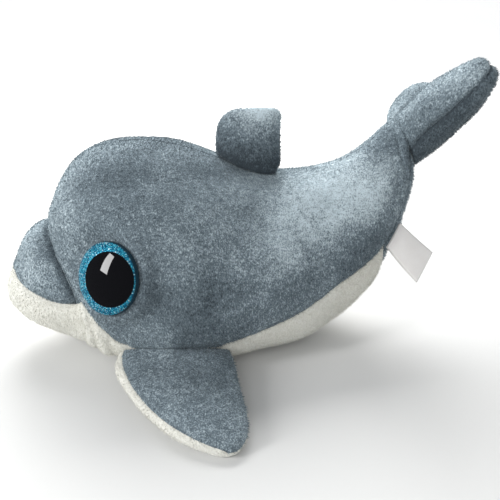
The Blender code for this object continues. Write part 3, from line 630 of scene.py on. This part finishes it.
flukeForm = {
    "length": 0.0360, "chord": 0.0230, "thickness": 0.0170, "spread": {-1: radians(44), 1: radians(54)},
    "rise": radians(50), "roll": radians(17), "tip": 0.46, "gap": 0.0001,
    "rings": ((0.18, 0.00, 0.82, 1.12), (0.42, -0.02, 0.93, 1.06), (0.65, 0.02, 0.92, 0.92),
              (0.84, 0.12, 0.82, 0.74), (0.95, 0.26, 0.68, 0.50)),
    "plump": {-1: 0.0006, 1: 0.0022}, "sewn": 1.3, "joined": 0.35,
}
turns = np.linspace(0, 2 * pi, finForm["turns"] + 1)[:-1]  # 0 at the trailing edge, pi at the leading edge
turnCos, turnSin = np.cos(turns)[:, None], np.sin(turns)[:, None]


def rootOnBody(form, around, top):
    rowPace, turnPace = paces(form["row"], around)
    rows = form["row"] + form["chord"] / 2 / rowPace * turnCos[:, 0]
    around = around + top * form["thickness"] / 2 / turnPace * turnSin[:, 0]
    return restingBody(rows, around) + bodyOutward(rows, around) * finForm["rootLift"]


def section(centre, chord, thick):
    return centre + turnCos * chord + turnSin * thick


def finOutward(grid):
    half = len(turns) // 2
    chord = unit(grid[:-1, 0] - grid[:-1, half])
    thick = grid[:-1, 1:half].mean(axis=1) - grid[:-1, half + 1:].mean(axis=1)
    thick = unit(thick - np.sum(thick * chord, axis=-1, keepdims=True) * chord)
    middles = grid.mean(axis=1)
    pace = np.gradient(middles, axis=0)
    axis = unit(pace)
    size = np.linalg.norm(grid - middles[:, None], axis=-1).min(axis=1)
    slope = np.clip(-np.gradient(size) / np.linalg.norm(pace, axis=-1), 0, 1)
    out = turnCos * chord[:, None] + turnSin * thick[:, None] + slope[:-1, None, None] * axis[:-1, None]
    return np.concatenate([unit(out), np.broadcast_to(axis[-1], out[:1].shape)])


def readAround(rings, at):  # a grid's values at places between its columns, which run around
    lower, level = np.floor(at).astype(int), np.arange(len(rings))[:, None]
    part, count = (at - lower)[..., None], rings.shape[1]
    return rings[level, lower % count] * (1 - part) + rings[level, (lower + 1) % count] * part


def fin(name, node, sides, root, rings, tip, seed, form, plump, pressed=False):
    # sides: the first and the second panel's words, its node's ending, its slot, and how much lighter or
    # darker its colour is painted at the root and at the tip, as painted light and shade over stroked pile
    table = np.stack([root] + rings + [np.broadcast_to(tip, rings[0].shape)])
    grid = readRows(table, np.linspace(0, len(table) - 1, finForm["steps"]))
    if pressed:
        grid[..., 2] = np.maximum(grid[..., 2], 0)
    outward = finOutward(grid)
    reach = np.linalg.norm(grid[:, 0] - grid[:, len(turns) // 2], axis=-1) / 2
    # the top panel of a pressed fin stops short of the rim, so that the underside shows around it
    short = np.linspace(*finForm["rim"], len(grid)) * pressed
    short = np.arccos(np.clip(1 - short / np.maximum(reach, finForm["leastReach"]), finForm["narrowest"], 1))
    made = []
    for k, (words, ending, slot, brushedAndPaintedLightEnds) in enumerate(sides):
        first, last = (0 * short, pi - short) if k == 0 else (pi - short, 2 * pi + 0 * short)
        at = first[:, None] + (last - first)[:, None] * np.linspace(0, 1, finForm["columns"])
        at = at * len(turns) / (2 * pi)
        skin, out = readAround(grid, at), readAround(outward, at)
        across, length = along(skin, 1), along(skin, 0)
        edges = ((across, form["sewn"]), (across[:, -1:] - across, form["sewn"]), (length, form["joined"]))
        share = length / length[-1:]
        swell = plump * np.sin(pi * np.clip(share * finForm["plumpReach"], 0, 1)) ** finForm["plumpPower"]
        outer, seam = sewnSurface(skin, out, edges, seed + k, swell)
        # painted light and shade from the root to the tip, such as painted shade at a fin's root
        brushedAndPaintedLight = brushedAndPaintedLightEnds[0] + (brushedAndPaintedLightEnds[1] - brushedAndPaintedLightEnds[0]) * share
        piece = sheetOf(name + words, outer, skin - out * finForm["wall"], plush[slot], seam, brushedAndPaintedLight)
        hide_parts(f"{node}_{ending}")
        made.append(dress(piece, slot))
    return made


def flipper(name, node, side):
    form = flipperForm
    root = rootOnBody(form, side * form["turn"], -side)
    start, trailing = root.mean(axis=0), root[0][0]
    rings = []
    for out, lead, trail, thick in form["rings"]:
        half, drop = form["thickness"] / 2 * thick, min(out / form["level"], 1)
        middle = np.array((trailing - (lead + trail) / 2 * form["chord"],
                           start[1] + side * out * form["span"],
                           half * drop + max(start[2], half) * (1 - drop)))
        chord = np.array(((lead - trail) / 2 * form["chord"], 0, 0))
        rings.append(section(middle, chord, np.array((0, 0, half))))
    tip = np.array((trailing - form["tip"] * form["chord"], start[1] + side * form["span"],
                    form["rings"][-1][3] * form["thickness"] / 2))
    sides = (("Top", "top_panel", "grey_plush", (0.0, 0.05)),
             ("Underside", "underside_panel", "off_white_plush", (0, 0)))
    seed = 21 if side < 0 else 23
    return fin(name, node, sides, root, rings, tip, seed, form, form["plump"], pressed=True)


def dorsalFin():
    form, lean = dorsalForm, bodyForm["lean"]
    root = rootOnBody(form, 0, 1)
    start, trailing = root.mean(axis=0), root[0][0]
    up, across = np.array((0, sin(lean), cos(lean))), np.array((0, cos(lean), -sin(lean)))
    rings = []

    def place(out, back):
        middle = start + up * out * form["rise"]
        return np.array((trailing - back * form["chord"], middle[1], middle[2]))

    for out, lead, trail, thick in form["rings"]:
        chord = np.array(((lead - trail) / 2 * form["chord"], 0, 0))
        rings.append(section(place(out, (lead + trail) / 2), chord, across * thick * form["thickness"] / 2))
    # each side is painted darker at the root as painted shade and lighter towards the top as painted light
    sides = (("Right", "right_panel", "grey_plush", (-0.6, 0.8)),
             ("Left", "left_panel", "grey_plush", (-2.0, 1.9)))
    tip = place(1.0, form["tip"])
    return fin("dorsalFin", "dorsal_fin", sides, root, rings, tip, 25, form, form["plump"])


def tailEnd(side):  # half of the tail's end face
    upX, upZ, lowX, lowZ, wide = bodyRows[-1][:5]
    middle = np.array(((upX + lowX) / 2, 0, (upZ + lowZ) / 2))
    down = np.array((lowX - upX, 0, lowZ - upZ)) / 2
    deep = np.linalg.norm(down)
    gap, seam, half = flukeForm["gap"], float(seamTurn(bodyForm["last"])), len(turns) // 2
    flatSteps = half // 3
    first = asin(gap / wide)
    rise = np.linspace(0, cos(first), flatSteps + 1)
    arc = half - flatSteps + 1
    angles = np.concatenate([np.linspace(first, seam, arc), np.linspace(seam, pi - first, arc)[1:]])
    drop = np.concatenate([-rise[:-1], -np.cos(angles), rise[-2:0:-1]])
    y = np.full(len(turns), gap)
    y[flatSteps:flatSteps + len(angles)] = wide * np.sin(angles)
    ring = middle + drop[:, None] * deep * unit(down)
    ring[:, 1] = side * y
    return leaned(ring)


def fluke(name, node, side):
    form, last = flukeForm, bodyForm["last"]
    edge = sewnBody(last, np.array(side * seamTurn(last)))
    joint = (sewnBody(last, 0.0) + sewnBody(last, pi)) / 2
    spread, roll = form["spread"][side], form["roll"]
    turned = np.array(((1, 0, 0), (0, cos(roll), sin(roll)), (0, -sin(roll), cos(roll))))
    rear, sideways = np.array((cos(form["rise"]), 0, sin(form["rise"]))), np.array((0, side, 0))
    axis = turned @ (cos(spread) * rear + sin(spread) * sideways)
    chord = turned @ (sin(spread) * rear - cos(spread) * sideways)
    thick = turned @ np.array((-sin(form["rise"]), 0, cos(form["rise"])))
    start = leaned(joint) + turned @ (edge - joint)

    def place(out, back):
        return start + out * form["length"] * axis + back * form["chord"] * chord

    rings = [section(place(out, (lead + trail) / 2), chord * (trail - lead) * form["chord"] / 2,
                     thick * deep * form["thickness"] / 2) for out, lead, trail, deep in form["rings"]]
    # the undersides are painted darker as painted shade, and the right fluke's top lighter as painted light
    sides = (("Top", "top_panel", "grey_plush", (-0.1, 0.1) if side < 0 else (0.3, 0.3)),
             ("Underside", "underside_panel", "grey_plush", (-1.15, -0.85)))
    seed = 27 if side < 0 else 29
    return fin(name, node, sides, tailEnd(side), rings, place(1.0, form["tip"]), seed, form,
               form["plump"][side])


plushPieces += flipper("flipperLeft", "flipper_left", -1) + flipper("flipperRight", "flipper_right", 1)
plushPieces += dorsalFin() + fluke("flukeLeft", "fluke_left", -1) + fluke("flukeRight", "fluke_right", 1)
print("fins sewn")
strands = [pileOn(piece, piece["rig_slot"]) for piece in plushPieces]
print("pile on it:", sum(len(piece.data.polygons) for piece in strands), "faces")


# eyes: a clear dome over a black pupil and a ring of blue glitter

def eyeFinish():
    finish = Finish("glitterEye", Coat_Weight=1.0, Coat_Roughness=0.015, Coat_IOR=1.33,
                    Specular_IOR_Level=0.0)
    disc = finish.place("disc")
    fromPupil = finish.node("ShaderNodeVectorMath", {"operation": "DISTANCE"}, {
        0: disc, 1: (*eyeForm["pupilShift"], 0)}, "Value")
    fromMiddle = finish.node("ShaderNodeVectorMath", {"operation": "LENGTH"}, {0: disc}, "Value")
    flakes = finish.node("ShaderNodeTexVoronoi", {"feature": "F1"}, {
        "Vector": disc, "Scale": eyeForm["flakes"], "Randomness": 1.0}, "Color")
    spark = finish.node("ShaderNodeSeparateColor", None, {0: flakes}, "Red")
    glint = spark.other("Green")
    glitter = finish.ramp(spark, eyeForm["glitter"])
    ring = fromPupil.step(eyeForm["pupil"] - eyeForm["pupilBlur"], eyeForm["pupil"] + eyeForm["pupilBlur"])
    rim = fromMiddle.step(*eyeForm["darkRim"])
    colour = finish.blend(ring, eyeForm["pupilColour"], glitter)
    finish.vary("Base Color", finish.blend(rim, colour, eyeForm["rimColour"]))
    finish.vary("Metallic", ring * (1 - rim) * 0.55)
    finish.vary("Roughness", (1 - ring) * 0.15 + ring * (glint * 0.2 + 0.25))
    finish.bump(glint * ring, 0.0006, 0.5)
    return finish.material


def eye(name, node, side, finish):
    form, (middle, normal) = eyeForm, eyes[side]
    radius, lift, steps = form["diameter"] / 2, form["lift"], form["spokes"]
    shank, end = form["shank"], form["shankEnd"]
    rim = form["rimShare"] * form["dome"]
    profile = [(radius * sin(a), lift + rim + (form["dome"] - rim) * cos(a))
               for a in np.linspace(0, pi / 2, form["rings"])[1:]]
    profile += [(radius + outwards, lift + height) for outwards, height in form["edge"]]
    profile += [(shank, lift), (shank, end + form["shankRound"]), (shank - form["shankRound"], end)]
    across = unit(np.cross((0, 0, 1), normal))
    upward = np.cross(normal, across)
    angles = np.linspace(0, 2 * pi, steps + 1)[:-1]
    spokes = np.cos(angles)[:, None] * across + np.sin(angles)[:, None] * upward
    rings = np.concatenate([middle + spokes * r + normal * h for r, h in profile])
    points = np.concatenate([rings, [middle + normal * (lift + form["dome"])], [middle + normal * end]])
    top, bottom, faces = len(rings), len(rings) + 1, []
    for k in range(steps):
        n = (k + 1) % steps
        faces.append((top, k, n))
        for r in range(len(profile) - 1):
            faces.append((r * steps + k, (r + 1) * steps + k, (r + 1) * steps + n, r * steps + n))
        faces.append((bottom, (len(profile) - 1) * steps + n, (len(profile) - 1) * steps + k))
    piece = closedMesh(name, points, faces, finish)
    flatLayer(piece, "disc", middle, across * -side, upward, radius)
    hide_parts(node)
    return dress(piece, "black_eye_plastic")


glitterEye = eyeFinish()
eye("eyeDomeLeft", "eye_left", -1, glitterEye)
eye("eyeDomeRight", "eye_right", 1, glitterEye)
print("eyes set")


# the label: a bare satin ribbon folded in two

labelForm = {"width": 0.0138, "length": 0.0185, "droop": radians(48), "out": 0.35, "ribbon": 0.0003,
             "gap": 0.0005, "parting": 0.5, "curl": 0.0007, "curlReach": 0.9, "root": 0.0006,
             "steps": 26, "bendSteps": 15,
             # bands across its width and how wavy they are
             "threads": (26.0, 0.4), "floats": (15.0, 0.6), "threadShare": 0.12,
             "satin": ((0.70, 0.67, 0.65), (0.80, 0.79, 0.77)), "threadColour": (0.55, 0.53, 0.52)}


def satinFinish():
    finish = Finish("bareSatin", Roughness=0.42, Sheen_Weight=0.25, Specular_IOR_Level=0.4)
    ribbon = finish.place("ribbon")
    threads = finish.bands(ribbon, "Y", *labelForm["threads"])
    floats = finish.bands(ribbon, "X", *labelForm["floats"])
    colour = finish.blend(finish.noise(ribbon, 3.0, Detail=3), *labelForm["satin"])
    colour = finish.blend(threads * labelForm["threadShare"], colour, labelForm["threadColour"])
    finish.vary("Base Color", colour)
    finish.bump(threads * 0.7 + floats * 0.3, 0.0001, 0.25)
    return finish.material


def label():
    form, start = labelForm, bodyForm["bellyEnd"]
    rows = start + form["width"] / paces(start, -seamTurn(start))[0] * np.linspace(0, 1, form["steps"])
    seam = restingBody(rows, -seamTurn(rows))
    across = unit(seam[-1] - seam[0])
    out = unit(np.array((cos(form["droop"]), -form["out"], -sin(form["droop"]))))
    face = unit(np.cross(across, out))
    offset, length = (form["gap"] + form["ribbon"]) / 2, form["length"]
    run = np.linspace(form["root"], length, form["steps"])
    parted = offset * (1 + form["parting"] * np.sin(run / length * pi))
    bend = np.linspace(0, pi, form["bendSteps"])[1:-1]
    far = np.concatenate([run, length + offset * np.sin(bend), run[::-1]])
    path = np.stack([far, np.concatenate([parted, offset * np.cos(bend), -parted[::-1]])], -1)
    heading = unit(np.gradient(path, axis=0))
    side = heading[:, :1] * face - heading[:, 1:] * out
    straight = seam[0] + np.linspace(0, form["width"], form["steps"])[:, None] * across
    share = np.clip(far / length, 0, 1)[:, None, None]
    curl = form["curl"] * np.sin(far / length * pi * form["curlReach"])
    bow = (np.linspace(-1, 1, form["steps"]) ** 2)[None, :, None] * curl[:, None, None] * face
    middle = seam * (1 - share) + straight * share + (path[:, :1] * out + path[:, 1:] * face)[:, None] + bow
    half = side[:, None] * form["ribbon"] / 2
    piece = sheetOf("bareLabel", middle + half, middle - half, satinFinish(), np.zeros(middle.shape[:2]))
    flatLayer(piece, "ribbon", seam[0], across, out, form["width"])
    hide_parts("label")
    dress(piece, "white_satin")
    return (piece, 2 * length + pi * offset)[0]


label()
print("label sewn in")


# floor, backdrop, light and camera

studio = {
    "floor": (0.64, 0.64, 0.63), "near": -2.2, "wall": 0.75, "bend": 0.35, "high": 2.2, "wide": 3.0,
    "below": 0.0002, "glow": 0.62, "glowFrom": (0.15, 0.85), "grain": 900, "grainDepth": 0.985,
    "world": (0.92, 0.96, 1.0), "worldLevel": 0.35, "mirrored": 0.16, "seen": 0.95,
    # name: place, power, width and height, seen in glossy things
    "lamps": {"skyLight": ((-0.06, 0.50, 0.52), 9.1, (0.60, 0.48), False),
              "windowLight": ((-0.53, -0.22, 0.30), 2.5, (0.11, 0.30), True),
              "fillLight": ((-0.15, -0.66, 0.50), 2.7, (0.80, 0.64), False)},
    "camera": (-0.00839, -0.18166, 0.124), "cameraTurn": (radians(64.5), 0, radians(-4)),
    "lens": 36.36, "sensor": 36, "nearest": 0.005,
}


def sweep():  # one pale sheet: floor, a wide bend and a wall behind
    form = studio
    back = form["wall"] + form["bend"]
    line = [(y, 0.0) for y in np.linspace(form["near"], form["wall"], 5)]
    line += [(form["wall"] + form["bend"] * sin(a), form["bend"] * (1 - cos(a)))
             for a in np.linspace(0, pi / 2, 14)[1:]]
    line += [(back, form["high"])]
    points = [(x, y, z) for y, z in line for x in (-form["wide"], form["wide"])]
    faces = [(2 * k, 2 * k + 1, 2 * k + 3, 2 * k + 2) for k in range(len(line) - 1)]
    mesh = bpy.data.meshes.new("sweep")
    mesh.from_pydata(points, [], faces)
    mesh.shade_smooth()
    finish = Finish("paleFloor", Roughness=0.85, Emission_Strength=1)
    place = finish.place()
    grain = finish.noise(place, form["grain"], Detail=2)
    darker = [share * form["grainDepth"] for share in form["floor"]]
    finish.vary("Base Color", finish.blend(grain, darker, form["floor"]))
    far = finish.node("ShaderNodeSeparateXYZ", None, {"Vector": place}, "Y").step(*form["glowFrom"])
    far = far * form["glow"]
    finish.vary("Emission Color", finish.node("ShaderNodeCombineXYZ", None, {"X": far, "Y": far, "Z": far}))
    mesh.materials.append(finish.material)
    piece = linked("sweep", mesh)
    piece.location.z = -form["below"]
    piece.visible_glossy = False  # so that the eyes stay dark below


def softbox(name, place, power, size, mirrored, target=(0, 0, 0.04)):
    lamp = bpy.data.lights.new(name, "AREA")
    lamp.energy, lamp.shape, (lamp.size, lamp.size_y) = power, "RECTANGLE", size
    piece = linked(name, lamp)
    piece.location = place
    heading = np.array(target) - np.array(place)
    flat = (heading[0] ** 2 + heading[1] ** 2) ** 0.5
    piece.rotation_euler = (atan2(flat, -heading[2]), 0, atan2(-heading[0], heading[1]))
    piece.visible_glossy = mirrored


def paleWorld():  # plain to the camera, dim to the eyes' gloss, soft light to the rest
    world = bpy.data.worlds.new("studio")
    bpy.context.scene.world = world
    world.use_nodes = True
    board = Board(world.node_tree)
    shown = board.node("ShaderNodeLightPath", out="Is Camera Ray")
    glossy = shown.other("Is Glossy Ray")
    unseen = glossy * studio["mirrored"] + (1 - glossy) * studio["worldLevel"]
    background = world.node_tree.nodes["Background"].inputs
    board.feed(background["Color"], board.blend(shown, studio["world"], (1, 1, 1)))
    board.feed(background["Strength"], shown * studio["seen"] + (1 - shown) * unseen)


def photoCamera():
    camera = linked("photoCamera", bpy.data.cameras.new("photoCamera"))
    camera.location, camera.rotation_euler = studio["camera"], studio["cameraTurn"]
    camera.data.lens, camera.data.sensor_width = studio["lens"], studio["sensor"]
    camera.data.clip_start = studio["nearest"]
    bpy.context.scene.camera = camera


sweep()
for lampName, lampValues in studio["lamps"].items():
    softbox(lampName, *lampValues)
paleWorld()
photoCamera()
bpy.context.scene.view_settings.view_transform = "Standard"
print("studio ready")
